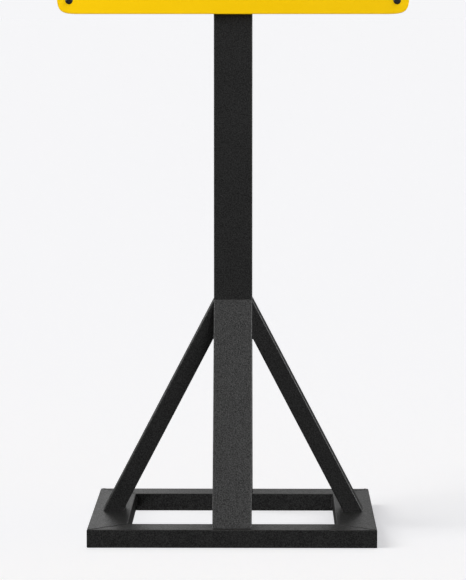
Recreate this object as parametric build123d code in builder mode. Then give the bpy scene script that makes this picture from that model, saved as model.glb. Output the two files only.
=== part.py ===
"""A free-standing signpost: a welded stand with a post, and a sign clamped to it.

The origin is on the floor at the middle of the base. +Z is up, the sign faces -Y,
and +X is to the right of someone who looks at the sign. Millimetres throughout.
"""

from build123d import *
import os
from math import atan2, cos, sin, tan

# Rectangular tube of the base and the braces
TUBE_WIDTH = 80.0
TUBE_THICK = 37.0
TUBE_WALL = 2.0
TUBE_CORNER = 2.0  # outer corner radius of every tube; inside, the corners are square

# Base: a square frame of four mitred rails
BASE_SIDE = 587.0
MITRE_EASE = 0.6  # chamfer on the mitred edges, which leaves a fine seam

# Post: square tube that ends under the brace heads
POST_SIDE = 80.0
POST_BOTTOM = 384.0
POST_TOP = 2086.0

# Braces: from the top of each rail to a face of the post
BRACE_TOP = 482.0  # where the outer side of a brace meets the post
FOOT_SETBACK = 21.0  # outer side of the rail to the outer edge of the foot

# Weld beads, on the inner sides of the joints only
BEAD_LEG = 3.0
BEAD_END_GAP = 5.0  # a bead stops short of each end of its joint

# Sign panel: a pressed tray, open to the back
SIGN_WIDTH = 728.0
SIGN_HEIGHT = 1020.0
SIGN_BOTTOM = 1075.0
SIGN_DEPTH = 20.0
SIGN_SHEET = 2.0
SIGN_EDGE = 2.2  # radius of the edge round the face
SIGN_CORNER_REACH = 44.0  # from the square corner to where the curve starts
SIGN_CORNER_PULL = 6.0  # from the square corner to the curve's control points

# Bolt lines of the sign
BOLT_FROM_SIDE = 25.6
BOLT_FROM_EDGE = 28.0

# Lipped sign channels, on the bolt lines, between panel and post
CHANNEL_HEIGHT = 30.0
CHANNEL_DEPTH = 20.0
CHANNEL_WALL = 2.0
CHANNEL_SLOT = 14.0
CHANNEL_END_GAP = 10.0  # side of the sign to the end of the channel

# Post clamps: hat-shaped straps, 4 mm flat steel
STRAP_THICK = 4.0
STRAP_EAR = 42.0  # from the leg of the strap to the end of its ear
STRAP_BEND = TUBE_CORNER  # inner radius, to lie on the post
CLAMP_BOLT_X = 66.0

# M8 fasteners: pan-head bolts in the sign's corners, hexagon bolts in the clamps
SHANK_RADIUS = 4.0
CLEARANCE_RADIUS = 4.5
BOLT_LENGTH = 16.0
PAN_RADIUS = 8.0
PAN_HEIGHT = 5.5
SOCKET_FLATS = 5.0
SOCKET_DEPTH = 3.2
HEXAGON_FLATS = 13.0
HEXAGON_HEIGHT = 5.3
WASHER_RADIUS = 8.0
WASHER_THICK = 1.6
PLATE_NUT_SIDE = 24.0
PLATE_NUT_THICK = 5.0

# Derived places
HALF_BASE = BASE_SIDE / 2
HALF_POST = POST_SIDE / 2
RAIL_CENTRE = HALF_BASE - TUBE_WIDTH / 2
SIGN_TOP = SIGN_BOTTOM + SIGN_HEIGHT
CHANNEL_BACK = -HALF_POST
CHANNEL_FRONT = CHANNEL_BACK - CHANNEL_DEPTH
SIGN_FRONT = CHANNEL_FRONT - SIGN_SHEET
BOLT_LINES = {"lower": SIGN_BOTTOM + BOLT_FROM_EDGE, "upper": SIGN_TOP - BOLT_FROM_EDGE}
BOLT_X = SIGN_WIDTH / 2 - BOLT_FROM_SIDE
CHANNEL_END_X = SIGN_WIDTH / 2 - CHANNEL_END_GAP

# A brace leans so that its outer side runs from the foot's outer edge to BRACE_TOP
FOOT_OUTER = HALF_BASE - FOOT_SETBACK
BRACE_LEAN = atan2(FOOT_OUTER - HALF_POST, BRACE_TOP - TUBE_THICK)
FOOT_INNER = FOOT_OUTER - TUBE_THICK / cos(BRACE_LEAN)
HEAD_INNER_Z = BRACE_TOP - TUBE_THICK / sin(BRACE_LEAN)

SIDES = {"right": 0, "back": 1, "left": 2, "front": 3}  # quarter turns from +X


def turned(plane, quarters):
    """The plane, turned about the vertical axis through the middle of the base."""
    return Plane(Location((0, 0, 0), (0, 0, 90 * quarters)) * plane.location)


def save(piece, name):
    """Label a finished piece and write it as its own STEP file."""
    piece.part.label = name
    export_step(piece.part, f"parts/{name}.step")


def tube_section(width, thick, wall):
    """Draw a tube's section, rounded at its outer corners, in the current sketch."""
    RectangleRounded(width, thick, TUBE_CORNER)
    Rectangle(width - 2 * wall, thick - 2 * wall, mode=Mode.SUBTRACT)


def base_rail(quarters):
    """One rail of the base, cut at 45 degrees at both ends."""
    end_centre = (RAIL_CENTRE, -HALF_BASE, TUBE_THICK / 2)
    start = turned(Plane(end_centre, x_dir=(1, 0, 0), z_dir=(0, 1, 0)), quarters)
    mitres = [turned(Plane((0, 0, 0), x_dir=(0, 0, 1), z_dir=(-1, side, 0)), quarters) for side in (1, -1)]
    with BuildPart() as rail:
        with BuildSketch(start):
            tube_section(TUBE_WIDTH, TUBE_THICK, TUBE_WALL)
        extrude(amount=BASE_SIDE)
        for mitre in mitres:
            split(bisect_by=mitre, keep=Keep.BOTTOM)
        for mitre in mitres:
            ends = rail.faces().filter_by(lambda face: abs(face.normal_at().dot(mitre.z_dir)) > 0.999)
            chamfer(ends[0].outer_wire().edges(), length=MITRE_EASE)
    return rail


def brace(quarters):
    """One brace: flat on its rail, upright against its side of the post."""
    foot_x = (FOOT_OUTER + FOOT_INNER) / 2
    past = TUBE_THICK  # the tube starts below the rail's top and ends inside the post
    low = (foot_x + past * tan(BRACE_LEAN), 0, TUBE_THICK - past)
    along = (-sin(BRACE_LEAN), 0, cos(BRACE_LEAN))
    reach = (BRACE_TOP + past) / cos(BRACE_LEAN)
    with BuildPart() as tube:
        with BuildSketch(turned(Plane(low, x_dir=(0, 1, 0), z_dir=along), quarters)):
            tube_section(TUBE_WIDTH, TUBE_THICK, TUBE_WALL)
        extrude(amount=reach)
        split(bisect_by=Plane.XY.offset(TUBE_THICK), keep=Keep.TOP)
        split(bisect_by=turned(Plane.YZ.offset(HALF_POST), quarters), keep=Keep.TOP)
    return tube


def bead_corners(corner, one_side, other_side, leg):
    """The corners of a weld bead's section, between two directions from a joint."""
    first = (corner[0] + leg * one_side[0], corner[1] + leg * one_side[1])
    second = (corner[0] + leg * other_side[0], corner[1] + leg * other_side[1])
    return corner, first, second


def weld_beads(corners, plane, length):
    """Four three-sided beads, one a quarter turn from the next."""
    with BuildPart() as beads:
        for quarters in SIDES.values():
            with BuildSketch(turned(plane, quarters)):
                with BuildLine():
                    Polyline(*corners, close=True)
                make_face()
            extrude(amount=length / 2, both=True)
    return beads


def brace_foot_welds():
    """The beads inside the brace feet."""
    up_brace = (-sin(BRACE_LEAN), cos(BRACE_LEAN))
    corners = bead_corners((FOOT_INNER, TUBE_THICK), (-1, 0), up_brace, BEAD_LEG)
    return weld_beads(corners, Plane.XZ, TUBE_WIDTH - 2 * BEAD_END_GAP)


def brace_head_welds():
    """The beads under the brace heads."""
    down_brace = (sin(BRACE_LEAN), -cos(BRACE_LEAN))
    corners = bead_corners((HALF_POST, HEAD_INNER_Z), (0, -1), down_brace, BEAD_LEG)
    return weld_beads(corners, Plane.XZ, TUBE_WIDTH - 2 * BEAD_END_GAP)


def mitre_welds():
    """Upright beads in the four inner corners of the base."""
    inner = HALF_BASE - TUBE_WIDTH
    corners = bead_corners((inner, inner), (-1, 0), (0, -1), BEAD_LEG)
    return weld_beads(corners, Plane.XY.offset(TUBE_THICK / 2), TUBE_THICK - 2 * BEAD_END_GAP)


def post():
    """The square post."""
    with BuildPart() as tube:
        with BuildSketch(Plane.XY.offset(POST_BOTTOM)):
            tube_section(POST_SIDE, POST_SIDE, TUBE_WALL)
        extrude(amount=POST_TOP - POST_BOTTOM)
    return tube


def post_plug(end_z, outward):
    """A ribbed plastic plug in one end of the post; outward is +1 or -1 along Z."""
    flange, crown = 3.0, 1.2
    skirt, rib_step, rib_height = 24.0, 7.0, 1.6
    bore = POST_SIDE - 2 * TUBE_WALL
    lip = Plane((0, 0, end_z), x_dir=(1, 0, 0), z_dir=(0, 0, outward))
    with BuildPart() as plug:
        with BuildSketch(lip):
            RectangleRounded(POST_SIDE, POST_SIDE, TUBE_CORNER)
        extrude(amount=flange)
        chamfer(plug.faces().sort_by(Axis.Z)[-1 if outward > 0 else 0].edges(), length=crown)
        with BuildSketch(lip):
            Rectangle(bore - 4, bore - 4)
            Rectangle(bore - 10, bore - 10, mode=Mode.SUBTRACT)
        extrude(amount=-skirt)
        for rib in range(3):
            with BuildSketch(lip.offset(-(5 + rib * rib_step))):
                Rectangle(bore, bore)
                Rectangle(bore - 10, bore - 10, mode=Mode.SUBTRACT)
            extrude(amount=-rib_height)
    return plug


def sign_panel():
    """The blank sign: a tray with a rounded edge, and a hole in each corner."""
    face = Plane((0, SIGN_FRONT, SIGN_BOTTOM + SIGN_HEIGHT / 2), x_dir=(1, 0, 0), z_dir=(0, -1, 0))
    half_width, half_height = SIGN_WIDTH / 2, SIGN_HEIGHT / 2
    with BuildPart() as panel:
        with BuildSketch(face):
            with BuildLine():
                Line((0, half_height), (half_width - SIGN_CORNER_REACH, half_height))
                Bezier(
                    (half_width - SIGN_CORNER_REACH, half_height),
                    (half_width - SIGN_CORNER_PULL, half_height),
                    (half_width, half_height - SIGN_CORNER_PULL),
                    (half_width, half_height - SIGN_CORNER_REACH),
                )
                Line((half_width, half_height - SIGN_CORNER_REACH), (half_width, 0))
                mirror(about=Plane.XZ)
                mirror(about=Plane.YZ)
            make_face()
        extrude(amount=-SIGN_DEPTH)
        fillet(panel.faces().sort_by(Axis.Y)[0].edges(), SIGN_EDGE)
        offset(amount=-SIGN_SHEET, openings=panel.faces().sort_by(Axis.Y)[-1])
        with BuildSketch(face):
            with GridLocations(2 * BOLT_X, SIGN_HEIGHT - 2 * BOLT_FROM_EDGE, 2, 2):
                Circle(CLEARANCE_RADIUS)
        extrude(amount=-SIGN_SHEET, mode=Mode.SUBTRACT)
    return panel


def sign_channel(line_z):
    """A lipped channel with its slot to the back, drilled for the corner bolts."""
    centre_y = (CHANNEL_FRONT + CHANNEL_BACK) / 2
    depth, height = CHANNEL_DEPTH - 2 * CHANNEL_WALL, CHANNEL_HEIGHT - 2 * CHANNEL_WALL
    with BuildPart() as channel:
        with BuildSketch(Plane.YZ.offset(-CHANNEL_END_X)):
            with Locations((centre_y, line_z)):
                RectangleRounded(CHANNEL_DEPTH, CHANNEL_HEIGHT, CHANNEL_WALL / 2)
                Rectangle(depth, height, mode=Mode.SUBTRACT)
            with Locations((CHANNEL_BACK, line_z)):
                Rectangle(3 * CHANNEL_WALL, CHANNEL_SLOT, mode=Mode.SUBTRACT)
        extrude(amount=2 * CHANNEL_END_X)
        with BuildSketch(Plane.XZ.offset(-CHANNEL_FRONT)):
            with Locations((-BOLT_X, line_z), (BOLT_X, line_z)):
                Circle(CLEARANCE_RADIUS)
        extrude(amount=-CHANNEL_WALL, mode=Mode.SUBTRACT)
    return channel


def channel_end_cap():
    """A plastic cap at the right end of the lower channel."""
    plate, insert = 2.0, 2.5
    depth, height = CHANNEL_DEPTH - 2 * CHANNEL_WALL, CHANNEL_HEIGHT - 2 * CHANNEL_WALL
    centre = ((CHANNEL_FRONT + CHANNEL_BACK) / 2, BOLT_LINES["lower"])
    with BuildPart() as cap:
        with BuildSketch(Plane.YZ.offset(CHANNEL_END_X)):
            with Locations(centre):
                RectangleRounded(CHANNEL_DEPTH, CHANNEL_HEIGHT, CHANNEL_WALL / 2)
        extrude(amount=plate)
        chamfer(cap.faces().sort_by(Axis.X)[-1].edges(), length=plate / 3)
        with BuildSketch(Plane.YZ.offset(CHANNEL_END_X)):
            with Locations(centre):
                Rectangle(depth, height)
        extrude(amount=-insert)
    return cap


def pan_bolt():
    """An M8 pan-head bolt through the right lower corner of the sign."""
    tip, rim, crown = 1.0, 1.0, 4.6  # tip chamfer, straight rim of the head, flat top's radius
    place = (BOLT_X, BOLT_LINES["lower"])
    axis = Plane((BOLT_X, SIGN_FRONT, BOLT_LINES["lower"]), x_dir=(1, 0, 0), z_dir=(0, 0, 1))
    with BuildPart() as bolt:
        with BuildSketch(axis):
            with BuildLine():
                Polyline(
                    (0, -PAN_HEIGHT),
                    (0, BOLT_LENGTH),
                    (SHANK_RADIUS - tip, BOLT_LENGTH),
                    (SHANK_RADIUS, BOLT_LENGTH - tip),
                    (SHANK_RADIUS, 0),
                    (PAN_RADIUS, 0),
                    (PAN_RADIUS, -rim),
                )
                TangentArc((PAN_RADIUS, -rim), (crown, -PAN_HEIGHT), tangent=(0, -1))
                Line((crown, -PAN_HEIGHT), (0, -PAN_HEIGHT))
            make_face()
        revolve(axis=Axis((BOLT_X, SIGN_FRONT, BOLT_LINES["lower"]), (0, 1, 0)))
        with BuildSketch(Plane.XZ.offset(PAN_HEIGHT - SIGN_FRONT)):
            with Locations(place):
                RegularPolygon(SOCKET_FLATS / 2, 6, major_radius=False)
        extrude(amount=-SOCKET_DEPTH, mode=Mode.SUBTRACT)
    return bolt


def hexagon_bolt():
    """An M8 hexagon bolt through the right ear of the lower clamp."""
    seat_y = CHANNEL_BACK + STRAP_THICK + WASHER_THICK
    across_rounded_corners = 1.14 * HEXAGON_FLATS
    place = (CLAMP_BOLT_X, BOLT_LINES["lower"])
    with BuildPart() as bolt:
        with BuildSketch(Plane.XZ.offset(-seat_y)):
            with Locations(place):
                RegularPolygon(HEXAGON_FLATS / 2, 6, major_radius=False)
        extrude(amount=-HEXAGON_HEIGHT)
        with BuildSketch(Plane.XZ.offset(-seat_y)):
            with Locations(place):
                Circle(across_rounded_corners / 2)
        extrude(amount=-HEXAGON_HEIGHT, mode=Mode.INTERSECT)
        chamfer(bolt.faces().sort_by(Axis.Y)[-1].edges(), length=0.6)
        with BuildSketch(Plane.XZ.offset(-seat_y)):
            with Locations(place):
                Circle(SHANK_RADIUS)
        extrude(amount=BOLT_LENGTH)
        chamfer(bolt.faces().sort_by(Axis.Y)[0].edges(), length=0.8)
    return bolt


def washer():
    """The plain washer under the clamp bolt's head."""
    with BuildPart() as ring:
        with BuildSketch(Plane.XZ.offset(-(CHANNEL_BACK + STRAP_THICK))):
            with Locations((CLAMP_BOLT_X, BOLT_LINES["lower"])):
                Circle(WASHER_RADIUS)
                Circle(CLEARANCE_RADIUS, mode=Mode.SUBTRACT)
        extrude(amount=-WASHER_THICK)
    return ring


def plate_nut(x, front_y):
    """A square nut that the lower channel keeps from turning."""
    with BuildPart() as nut:
        with BuildSketch(Plane.XZ.offset(-front_y)):
            with Locations((x, BOLT_LINES["lower"])):
                Rectangle(PLATE_NUT_SIDE, PLATE_NUT_SIDE)
                Circle(SHANK_RADIUS, mode=Mode.SUBTRACT)
        extrude(amount=-PLATE_NUT_THICK)
        chamfer(nut.edges().filter_by(Axis.Y).filter_by(GeomType.LINE), length=1.0)
    return nut


def post_clamp(line_z):
    """A strap bent round three sides of the post, with an ear on each side."""
    mid = STRAP_THICK / 2
    ear_end = HALF_POST + STRAP_THICK + STRAP_EAR
    bends = [
        (ear_end, CHANNEL_BACK + mid),
        (HALF_POST + mid, CHANNEL_BACK + mid),
        (HALF_POST + mid, HALF_POST + mid),
        (-HALF_POST - mid, HALF_POST + mid),
        (-HALF_POST - mid, CHANNEL_BACK + mid),
        (-ear_end, CHANNEL_BACK + mid),
    ]
    with BuildPart() as strap:
        with BuildSketch(Plane.XY.offset(line_z - CHANNEL_HEIGHT / 2)):
            with BuildLine():
                FilletPolyline(*bends, radius=STRAP_BEND + mid)
            trace(line_width=STRAP_THICK)
        extrude(amount=CHANNEL_HEIGHT)
        ends = strap.edges().filter_by(Axis.Y).group_by(Axis.X)
        fillet(ends[0] + ends[-1], radius=STRAP_THICK)
        with BuildSketch(Plane.XZ.offset(-CHANNEL_BACK)):
            with Locations((-CLAMP_BOLT_X, line_z), (CLAMP_BOLT_X, line_z)):
                Circle(CLEARANCE_RADIUS)
        extrude(amount=-STRAP_THICK, mode=Mode.SUBTRACT)
    return strap


def at_four_places(piece):
    """The piece at the left and right of the lower and the upper bolt line."""
    rise = BOLT_LINES["upper"] - BOLT_LINES["lower"]
    with BuildPart() as group:
        for lift in (0, rise):
            with Locations((0, 0, lift)):
                add(piece.part)
                add(piece.part.mirror(Plane.YZ))
    return group


os.makedirs("parts", exist_ok=True)

for side, quarters in SIDES.items():
    save(base_rail(quarters), f"base_{side}_rail")
    save(brace(quarters), f"{side}_brace")
save(mitre_welds(), "mitre_welds")
save(brace_foot_welds(), "brace_foot_welds")
save(brace_head_welds(), "brace_head_welds")

save(post(), "post")
save(post_plug(POST_TOP, 1), "post_top_plug")
save(post_plug(POST_BOTTOM, -1), "post_bottom_plug")

save(sign_panel(), "sign_panel")
for level, line_z in BOLT_LINES.items():
    save(sign_channel(line_z), f"{level}_sign_channel")
    save(post_clamp(line_z), f"{level}_post_clamp")
save(at_four_places(channel_end_cap()), "channel_end_caps")
save(at_four_places(pan_bolt()), "sign_bolts")
sign_nut = plate_nut(BOLT_X, CHANNEL_FRONT + CHANNEL_WALL)
save(at_four_places(sign_nut), "sign_channel_nuts")
save(at_four_places(hexagon_bolt()), "clamp_bolts")
save(at_four_places(washer()), "clamp_washers")
clamp_nut = plate_nut(CLAMP_BOLT_X, CHANNEL_BACK - CHANNEL_WALL - PLATE_NUT_THICK)
save(at_four_places(clamp_nut), "clamp_channel_nuts")
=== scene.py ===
"""The looks of a free-standing signpost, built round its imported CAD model.

Metres, in the CAD model's own frame: the floor is at z = 0, +Z is up, the sign
faces -Y, and +X is to the right of someone who looks at the sign.
"""

import math

import bmesh
import bpy
from mathutils import Matrix, Vector


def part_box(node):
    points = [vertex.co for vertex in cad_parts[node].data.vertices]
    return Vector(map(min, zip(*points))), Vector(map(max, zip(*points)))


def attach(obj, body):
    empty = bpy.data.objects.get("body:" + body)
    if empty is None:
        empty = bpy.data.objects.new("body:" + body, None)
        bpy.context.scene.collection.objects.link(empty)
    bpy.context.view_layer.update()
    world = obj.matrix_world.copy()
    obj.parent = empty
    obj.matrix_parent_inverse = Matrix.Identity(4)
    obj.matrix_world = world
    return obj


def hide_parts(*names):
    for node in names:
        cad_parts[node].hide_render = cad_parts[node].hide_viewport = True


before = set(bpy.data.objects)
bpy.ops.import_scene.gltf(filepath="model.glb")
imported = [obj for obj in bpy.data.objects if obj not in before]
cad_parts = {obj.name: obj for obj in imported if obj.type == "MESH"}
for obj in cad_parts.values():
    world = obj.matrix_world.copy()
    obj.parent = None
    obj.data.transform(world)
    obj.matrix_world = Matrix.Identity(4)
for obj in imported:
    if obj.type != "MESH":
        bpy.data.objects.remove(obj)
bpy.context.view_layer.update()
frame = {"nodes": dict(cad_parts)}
nodes = frame["nodes"]

# Camera, at the photograph's place and angle
CAMERA_PLACE = (0.0667, -6.8948, 1.0717)
CAMERA_YAW = 0.559  # degrees, to the left of +Y
CAMERA_PITCH = 4.75  # degrees, below the horizon
CAMERA_LENS = 204.9  # millimetres, for a sensor 36 mm long
CAMERA_REACH = 1000.0

# The pale colour of the floor and of the backdrop, linear
PALE = (0.922, 0.922, 0.939)

# Wide suns. Azimuth is 0 towards the camera and 90 to the right; elevation is above the
# horizon; width is across the sun's disc. All three are in degrees. Strength is the light on
# a surface that faces the sun, in watts per square metre. Each list lights only some of the
# pieces, so that the object can be lit all round while the floor keeps short soft shadows.
OBJECT_SUNS = [
    {"name": "front_right_high", "azimuth": 45, "elevation": 45, "width": 55, "strength": 1.65},
    {"name": "right", "azimuth": 90, "elevation": 30, "width": 55, "strength": 0.5},
    {"name": "back_right", "azimuth": 135, "elevation": 45, "width": 55, "strength": 0.5},
    {"name": "back_left", "azimuth": 225, "elevation": 45, "width": 55, "strength": 0.5},
    {"name": "back_low", "azimuth": 180, "elevation": 13, "width": 25, "strength": 0.046},
]
# For all but the post's plugs and the rails, whose tops would glare when seen from behind
UPRIGHT_SUNS = [
    {"name": "front_right_low", "azimuth": 45, "elevation": 10, "width": 55, "strength": 2.6},
]
# For the fronts of the rails: from below, to leave their tops dark, and without reflections
RAIL_SUNS = [
    {"name": "front_left_below", "azimuth": 315, "elevation": -35, "width": 30, "strength": 4.5},
]
# For the sign's lower edge, as if the pale floor lit it; without reflections
SIGN_SUNS = [
    {"name": "sign_from_below", "azimuth": 0, "elevation": -60, "width": 60, "strength": 1.2},
]
# For the backs of the pieces whose names hold one of the words below, without the plugs
BACK_SUNS = [
    {"name": "back_wide", "azimuth": 180, "elevation": 10, "width": 110, "strength": 2.4},
]
LIT_FROM_BEHIND = ("sign", "channel", "clamp", "post", "back_brace")
# For the floor, with the shadows of all but the left rail and the left brace
FLOOR_SUNS = [
    {"name": "floor_left", "azimuth": 290, "elevation": 42, "width": 44, "strength": 1.45},
    {"name": "floor_top", "azimuth": 180, "elevation": 75, "width": 120, "strength": 0.5},
]
# For the floor, with a faint shadow of one rail alone
LEFT_RAIL_SUNS = [
    {"name": "floor_left_rail", "azimuth": 290, "elevation": 42, "width": 44, "strength": 0.3},
]
FRONT_RAIL_SUNS = [
    {"name": "floor_front_rail", "azimuth": 180, "elevation": 45, "width": 60, "strength": 0.3},
]
SUN_DISTANCE = 3.0  # where a sun's lamp hangs; its light is the same from anywhere

# Soft boxes for the object: a large one at its left, and a weak one behind it that draws a
# sheen along the tops of the rails. Power is in watts.
SOFT_BOXES = [
    {"name": "left_box", "place": (-3.0, -1.0, 2.0), "aim": (0, 0, 0.9), "size": 1.6, "power": 84},
    {"name": "back_box", "place": (-0.5, 2.6, 0.7), "aim": (0, 0, 0.2), "size": 0.6, "power": 0.37},
]

AMBIENT = 0.06  # even light from all round
FLOOR_REACH = 2000.0  # past the horizon
FLOOR_ALBEDO = 0.8  # what the lights on the floor leave of PALE is the floor's own glow
NOISE_RANGE = (0.3, 0.7)  # nearly all of a noise texture's values lie in it

# Weld beads. A bead runs along a joint between two toes, a leg away from the joint; crown is
# how far its face bulges, ripple how deep its scallops are, and wander how far it strays.
FILLET = {"leg": 0.003, "crown": 0.0005, "ripple": 0.00035, "wander": 0.0}
DRESSED = {"leg": 0.0045, "crown": 0.001, "ripple": 0.0001, "wander": 0.0012}  # ground down
BEAD_STEP = 0.0005  # from one ring of points to the next
BEAD_FACES = 7  # from one toe to the other
BEAD_TIP = 0.2  # size of a bead's two ends, as a share of its middle
BEAD_END_GAP = 0.005  # a brace's side to the bead's end
SEAM_END_GAP = 0.003  # a corner of the base to the end of a dressed bead
BEAD_SHARP = 50  # degrees; sharper edges aren't smoothed
RIPPLE_PITCH = 0.002
# Waves that make up a bead's straying: metres per radian, share, radians per quarter turn
SWAYS = ((0.0057, 1.0, 2), (0.0021, 0.6, 5))


def place_camera():
    """A long lens from a little above the middle of the object."""
    data = bpy.data.cameras.new("camera")
    data.lens = CAMERA_LENS
    data.clip_end = CAMERA_REACH
    camera = bpy.data.objects.new("camera", data)
    camera.location = CAMERA_PLACE
    camera.rotation_euler = (math.radians(90 - CAMERA_PITCH), 0, math.radians(CAMERA_YAW))
    bpy.context.collection.objects.link(camera)
    bpy.context.scene.camera = camera


def add(tree, kind, inputs=None, **settings):
    """Add a node; each input is given a value, or the output that feeds it."""
    node = tree.nodes.new(kind)
    for name, value in settings.items():
        setattr(node, name, value)
    for name, value in (inputs or {}).items():
        if isinstance(value, bpy.types.NodeSocket):
            tree.links.new(value, node.inputs[name])
        else:
            node.inputs[name].default_value = value
    return node


def math_node(tree, operation, *inputs):
    """The output of a maths node."""
    return add(tree, "ShaderNodeMath", dict(enumerate(inputs)), operation=operation).outputs[0]


def hang_backdrop():
    """The camera sees a pale backdrop; the object gets a weak even light."""
    world = bpy.data.worlds.new("studio")
    world.use_nodes = True
    bpy.context.scene.world = world
    tree = world.node_tree
    tree.nodes.clear()
    lit = add(tree, "ShaderNodeBackground", {"Color": (1.0, 1.0, 1.0, 1.0), "Strength": AMBIENT})
    seen = add(tree, "ShaderNodeBackground", {"Color": (*PALE, 1.0), "Strength": 1.0})
    by_camera = add(tree, "ShaderNodeLightPath").outputs["Is Camera Ray"]
    mix = add(tree, "ShaderNodeMixShader", {0: by_camera, 1: lit.outputs[0], 2: seen.outputs[0]})
    add(tree, "ShaderNodeOutputWorld", {"Surface": mix.outputs[0]})


def light_on_floor():
    """What the lights add to the brightness of the open floor."""
    suns = FLOOR_SUNS + LEFT_RAIL_SUNS + FRONT_RAIL_SUNS
    from_suns = sum(sun["strength"] * math.sin(math.radians(sun["elevation"])) for sun in suns)
    return FLOOR_ALBEDO * (from_suns / math.pi + AMBIENT)


def lay_floor():
    """A plain floor that runs on past the horizon and takes the soft shadows."""
    signs = ((-1, -1), (1, -1), (1, 1), (-1, 1))
    corners = [(x * FLOOR_REACH, y * FLOOR_REACH, 0) for x, y in signs]
    mesh = bpy.data.meshes.new("floor")
    mesh.from_pydata(corners, [], [(0, 1, 2, 3)])
    floor = bpy.data.objects.new("floor", mesh)
    material = bpy.data.materials.new("floor_paint")
    material.use_nodes = True
    tree = material.node_tree
    tree.nodes.clear()
    glow = tuple(channel - light_on_floor() for channel in PALE)
    matt = add(tree, "ShaderNodeBsdfDiffuse", {"Color": (FLOOR_ALBEDO,) * 3 + (1.0,)})
    glowing = add(tree, "ShaderNodeEmission", {"Color": (*glow, 1.0), "Strength": 1.0})
    surface = add(tree, "ShaderNodeAddShader", {0: matt.outputs[0], 1: glowing.outputs[0]})
    add(tree, "ShaderNodeOutputMaterial", {"Surface": surface.outputs[0]})
    mesh.materials.append(material)
    floor.visible_diffuse = False
    floor.visible_glossy = False
    bpy.context.collection.objects.link(floor)
    return floor


def new_finish(name):
    """A new material, its node tree and its main shader."""
    material = bpy.data.materials.new(name)
    material.use_nodes = True
    tree = material.node_tree
    return material, tree, tree.nodes["Principled BSDF"]


def noise(tree, scale, detail=2.0, stretch=(1.0, 1.0, 1.0)):
    """A noise value in the object's own space; scale is in repeats per metre."""
    place = add(tree, "ShaderNodeTexCoord").outputs["Object"]
    mapped = add(tree, "ShaderNodeMapping", {"Vector": place, "Scale": stretch})
    texture = {"Vector": mapped.outputs[0], "Scale": scale, "Detail": detail}
    return add(tree, "ShaderNodeTexNoise", texture).outputs["Fac"]


def ranged(tree, value, low, high):
    """A noise value, brought to a range of our own."""
    start, end = NOISE_RANGE
    ends = {"Value": value, "From Min": start, "From Max": end, "To Min": low, "To Max": high}
    return add(tree, "ShaderNodeMapRange", ends).outputs[0]


def blend_colours(tree, share, first, second):
    """Two colours mixed by a value."""
    mix = add(tree, "ShaderNodeMix", data_type="RGBA")
    tree.links.new(share, mix.inputs[0])
    # Sockets 6 and 7 are the two colours
    mix.inputs[6].default_value = (*first, 1.0)
    mix.inputs[7].default_value = (*second, 1.0)
    return mix.outputs[2]


def finish_surface(tree, shader, shade, colours, grain, roughness, bump):
    """Colour that follows one noise; roughness and bump that follow another.

    Bump is its strength and its height in metres.
    """
    colour = blend_colours(tree, ranged(tree, shade, 0.0, 1.0), *colours)
    tree.links.new(colour, shader.inputs["Base Color"])
    tree.links.new(ranged(tree, grain, *roughness), shader.inputs["Roughness"])
    relief = {"Height": grain, "Strength": bump[0], "Distance": bump[1]}
    normal = add(tree, "ShaderNodeBump", relief).outputs[0]
    tree.links.new(normal, shader.inputs["Normal"])


def powder_coat():
    """Matt black powder coat with a fine leathery grain."""
    material, tree, shader = new_finish("leather_grain_powder_coat")
    grain = noise(tree, 420.0, detail=1.0)
    cloud = noise(tree, 14.0)
    shade = math_node(tree, "MULTIPLY_ADD", cloud, 0.15, math_node(tree, "MULTIPLY", grain, 0.85))
    colours = (0.002, 0.002, 0.002), (0.019, 0.019, 0.019)
    finish_surface(tree, shader, shade, colours, grain, (0.42, 0.28), (0.8, 0.00035))
    tree.links.new(ranged(tree, grain, 0.3, 0.7), shader.inputs["Specular IOR Level"])
    return material


def yellow_paint():
    """Smooth satin yellow, with a trace of orange peel."""
    material, tree, shader = new_finish("satin_yellow_paint")
    colours = (0.775, 0.479, 0.0), (0.795, 0.495, 0.001)
    cloud, peel = noise(tree, 9.0), noise(tree, 260.0)
    finish_surface(tree, shader, cloud, colours, peel, (0.34, 0.40), (0.08, 0.0002))
    shader.inputs["Specular IOR Level"].default_value = 0.15
    return material


def mill_aluminium():
    """Aluminium as it leaves the die, with fine lines along the channel."""
    material, tree, shader = new_finish("drawn_mill_aluminium")
    colours = (0.56, 0.57, 0.58), (0.66, 0.67, 0.68)
    lines = noise(tree, 40.0, detail=4.0, stretch=(0.3, 40.0, 40.0))
    finish_surface(tree, shader, noise(tree, 20.0), colours, lines, (0.3, 0.5), (0.15, 0.0001))
    shader.inputs["Metallic"].default_value = 1.0
    return material


def black_oxide():
    """Blackened steel, slightly glossy, with a bluish cast."""
    material, tree, shader = new_finish("black_oxide_steel")
    colours = (0.018, 0.019, 0.024), (0.045, 0.048, 0.058)
    mottle = noise(tree, 600.0, detail=3.0)
    finish_surface(tree, shader, mottle, colours, mottle, (0.28, 0.42), (0.1, 0.0001))
    shader.inputs["Metallic"].default_value = 0.6
    return material


def zinc_plate():
    """Bright zinc plate with a faint crystal mottle."""
    material, tree, shader = new_finish("bright_zinc_plate")
    colours = (0.5, 0.52, 0.55), (0.64, 0.66, 0.68)
    mottle = noise(tree, 350.0, detail=4.0)
    finish_surface(tree, shader, mottle, colours, mottle, (0.22, 0.4), (0.08, 0.0001))
    shader.inputs["Metallic"].default_value = 1.0
    return material


def moulded_plastic():
    """Black plastic with the fine spark grain of its mould."""
    material, tree, shader = new_finish("moulded_black_plastic")
    colours = (0.014, 0.014, 0.015), (0.022, 0.022, 0.023)
    cloud, grain = noise(tree, 60.0), noise(tree, 1200.0)
    finish_surface(tree, shader, cloud, colours, grain, (0.42, 0.56), (0.25, 0.00015))
    return material


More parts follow.
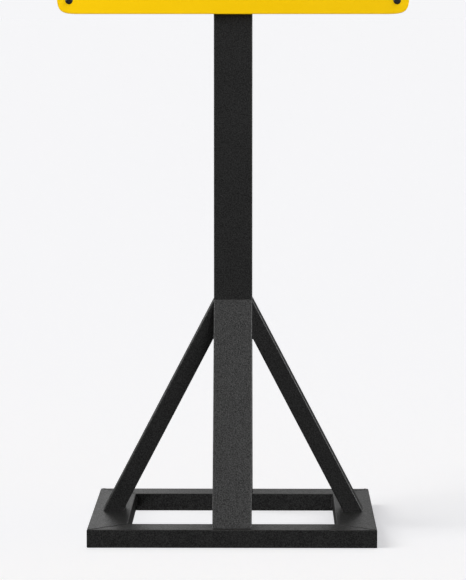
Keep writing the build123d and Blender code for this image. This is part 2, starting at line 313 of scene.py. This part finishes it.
FINISHES = {
    "black_powder_coat": powder_coat(),
    "yellow_paint": yellow_paint(),
    "mill_aluminium": mill_aluminium(),
    "black_steel": black_oxide(),
    "zinc_steel": zinc_plate(),
    "black_plastic": moulded_plastic(),
}


def bead_rings(tail, head, toes, out, form, quarter):
    """Rings of points along one weld bead, a number of quarter turns about the post.

    The toes are the directions from the joint to the bead's two edges, and out is the way
    that its face bulges.
    """
    length = (head - tail).length
    steps = round(length / BEAD_STEP)
    turn = Matrix.Rotation(math.radians(90 * quarter), 3, "Z")
    rings = []
    for step in range(steps + 1):
        along = length * step / steps
        from_end = min(step, steps - step) * length / steps
        swell = max(BEAD_TIP, math.sin(math.pi / 2 * min(1.0, from_end / form["leg"])))
        sway = sum(size * math.sin(along / wave + phase * quarter) for wave, size, phase in SWAYS)
        middle = tail.lerp(head, step / steps) + form["wander"] * sway * toes[0]
        ring = [middle - form["crown"] * out]
        for k in range(BEAD_FACES + 1):
            share = k / BEAD_FACES
            bow = 4 * share * (1 - share)  # 0 at the toes and 1 midway
            # Each scallop bows towards the tail and fades out at the toes
            scallop = abs(math.sin(math.pi * (along / RIPPLE_PITCH + bow / 2)))
            rise = form["crown"] * bow + form["ripple"] * scallop * min(1.0, 2 * bow)
            across = form["leg"] * toes[0].lerp(toes[1], share)
            ring.append(middle + swell * (across + rise * out))
        rings.append([turn @ point for point in ring])
    return rings


def fillet_rings(tail, head, toes, quarter):
    """The rings of a rippled bead in an inner corner."""
    return bead_rings(tail, head, toes, (toes[0] + toes[1]).normalized(), FILLET, quarter)


def weld_piece(name, stands_for, beads):
    """A mesh of closed weld beads, in place of the CAD model's plain bars."""
    points, faces = [], []
    for rings in beads:
        around = len(rings[0])
        starts = [len(points) + row * around for row in range(len(rings))]
        points += [point for ring in rings for point in ring]
        for near, far in zip(starts, starts[1:]):
            for k in range(around):
                after = (k + 1) % around
                faces.append((near + k, near + after, far + after, far + k))
        first, last = starts[0], starts[-1]
        faces.append(tuple(reversed(range(first, first + around))))
        faces.append(tuple(range(last, last + around)))
    mesh = bpy.data.meshes.new(name)
    mesh.from_pydata(points, [], faces)
    shell = bmesh.new()
    shell.from_mesh(mesh)
    bmesh.ops.recalc_face_normals(shell, faces=shell.faces)
    shell.to_mesh(mesh)
    shell.free()
    mesh.shade_smooth()
    mesh.set_sharp_from_angle(angle=math.radians(BEAD_SHARP))
    mesh.materials.append(FINISHES["black_powder_coat"])
    piece = bpy.data.objects.new(name, mesh)
    bpy.context.collection.objects.link(piece)
    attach(piece, "root")
    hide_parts(stands_for)
    return piece


def lay_welds():
    """The weld beads in the joints of the stand, each kind once on every side."""
    brace_low, brace_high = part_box("right_brace")
    foot_low, foot_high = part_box("brace_foot_welds")
    head_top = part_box("brace_head_welds")[1][2]
    mitre_low, mitre_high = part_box("mitre_welds")
    rail_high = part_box("base_right_rail")[1]

    inwards, forwards, down = Vector((-1, 0, 0)), Vector((0, -1, 0)), Vector((0, 0, -1))
    lean = math.atan2(brace_high[0] - brace_low[0], brace_high[2] - brace_low[2])
    up_brace = Vector((-math.sin(lean), 0, math.cos(lean)))
    across_seam = (forwards - inwards).normalized()
    half_width = (brace_high[1] - brace_low[1]) / 2 - BEAD_END_GAP
    inner = mitre_high[0]

    foot = [Vector((foot_high[0], y, foot_low[2])) for y in (-half_width, half_width)]
    under_head = [Vector((brace_low[0], y, head_top)) for y in (-half_width, half_width)]
    corner = [Vector((inner, inner, z)) for z in (mitre_low[2], mitre_high[2])]
    seam_ends = (inner + SEAM_END_GAP, rail_high[0] - SEAM_END_GAP)
    seam = [Vector((end, end, rail_high[2])) for end in seam_ends]

    feet, heads, mitres = [], [], []
    for quarter in range(4):
        feet.append(fillet_rings(*foot, (inwards, up_brace), quarter))
        heads.append(fillet_rings(*under_head, (down, -up_brace), quarter))
        mitres.append(fillet_rings(*corner, (inwards, forwards), quarter))
        mitres.append(bead_rings(*seam, (across_seam, -across_seam), -down, DRESSED, quarter))
    return {
        "base_mitre_beads": weld_piece("base_mitre_beads", "mitre_welds", mitres),
        "brace_foot_beads": weld_piece("brace_foot_beads", "brace_foot_welds", feet),
        "brace_head_beads": weld_piece("brace_head_beads", "brace_head_welds", heads),
    }


def finish_nodes():
    """Give every CAD node the finish of its material slot."""
    for node in nodes.values():
        node.material_slots[0].material = FINISHES[node.material_slots[0].material.name]


def hang_lamp(name, data, place, towards, lit, shading):
    """A lamp at a place, which shines along a direction on one collection of pieces.

    Only the pieces of the other collection cast shadows in it, or all if it is None.
    """
    lamp = bpy.data.objects.new(name, data)
    lamp.location = place
    lamp.rotation_euler = Vector(towards).to_track_quat("-Z", "Y").to_euler()
    lamp.visible_camera = False
    lamp.light_linking.receiver_collection = lit
    lamp.light_linking.blocker_collection = shading
    bpy.context.collection.objects.link(lamp)
    return lamp


def hang_suns(suns, lit, shading=None, glossy=True):
    """Suns with wide discs, which give soft shadows, and no reflections if not glossy."""
    for sun in suns:
        data = bpy.data.lights.new(sun["name"], "SUN")
        data.angle = math.radians(sun["width"])
        data.energy = sun["strength"]
        azimuth, elevation = math.radians(sun["azimuth"]), math.radians(sun["elevation"])
        level = math.cos(elevation)
        away = Vector((math.sin(azimuth) * level, -math.cos(azimuth) * level, math.sin(elevation)))
        lamp = hang_lamp(sun["name"], data, SUN_DISTANCE * away, -away, lit, shading)
        lamp.visible_glossy = glossy


def hang_soft_boxes(lit, shading):
    """Square soft boxes near the object."""
    for box in SOFT_BOXES:
        data = bpy.data.lights.new(box["name"], "AREA")
        data.shape = "SQUARE"
        data.size = box["size"]
        data.energy = box["power"]
        towards = Vector(box["aim"]) - Vector(box["place"])
        hang_lamp(box["name"], data, box["place"], towards, lit, shading)


def light_everything(pieces, floor):
    """Hang all the lamps, each kept to the pieces that it is for."""

    def group(name, test, *others):
        """A collection of the pieces whose names pass a test, and of any others."""
        members = bpy.data.collections.new(name)
        for member in [piece for known, piece in pieces.items() if test(known)] + list(others):
            members.objects.link(member)
        return members

    def is_rail(name):
        return name.startswith("base_")

    def is_plug(name):
        return name.endswith("_plug")

    def is_behind(name):
        return any(word in name for word in LIT_FROM_BEHIND) and not is_plug(name)

    whole = group("object_alone", lambda name: True)
    all_but_bolts = group("all_but_bolts", lambda name: name != "sign_bolts", floor)
    uprights = group("uprights", lambda name: not (is_rail(name) or is_plug(name)))
    rails = group("rails", is_rail)
    open_floor = group("floor_alone", lambda name: False, floor)
    all_but_left = group("all_but_left", lambda name: "left" not in name)
    left_rail = group("left_rail", lambda name: name == "base_left_rail")
    front_rail = group("front_rail", lambda name: name == "base_front_rail")
    at_the_back = group("at_the_back", is_behind)
    sign = group("sign_alone", lambda name: name == "sign_panel")

    hang_suns(OBJECT_SUNS, whole)
    hang_suns(UPRIGHT_SUNS, uprights, all_but_bolts)
    hang_suns(RAIL_SUNS, rails, whole, glossy=False)
    hang_soft_boxes(whole, all_but_bolts)
    hang_suns(FLOOR_SUNS, open_floor, all_but_left)
    hang_suns(LEFT_RAIL_SUNS, open_floor, left_rail)
    hang_suns(FRONT_RAIL_SUNS, open_floor, front_rail)
    hang_suns(BACK_SUNS, at_the_back)
    hang_suns(SIGN_SUNS, sign, sign, glossy=False)


bpy.context.scene.view_settings.view_transform = "Standard"
place_camera()
hang_backdrop()
light_everything({**nodes, **lay_welds()}, lay_floor())
finish_nodes()
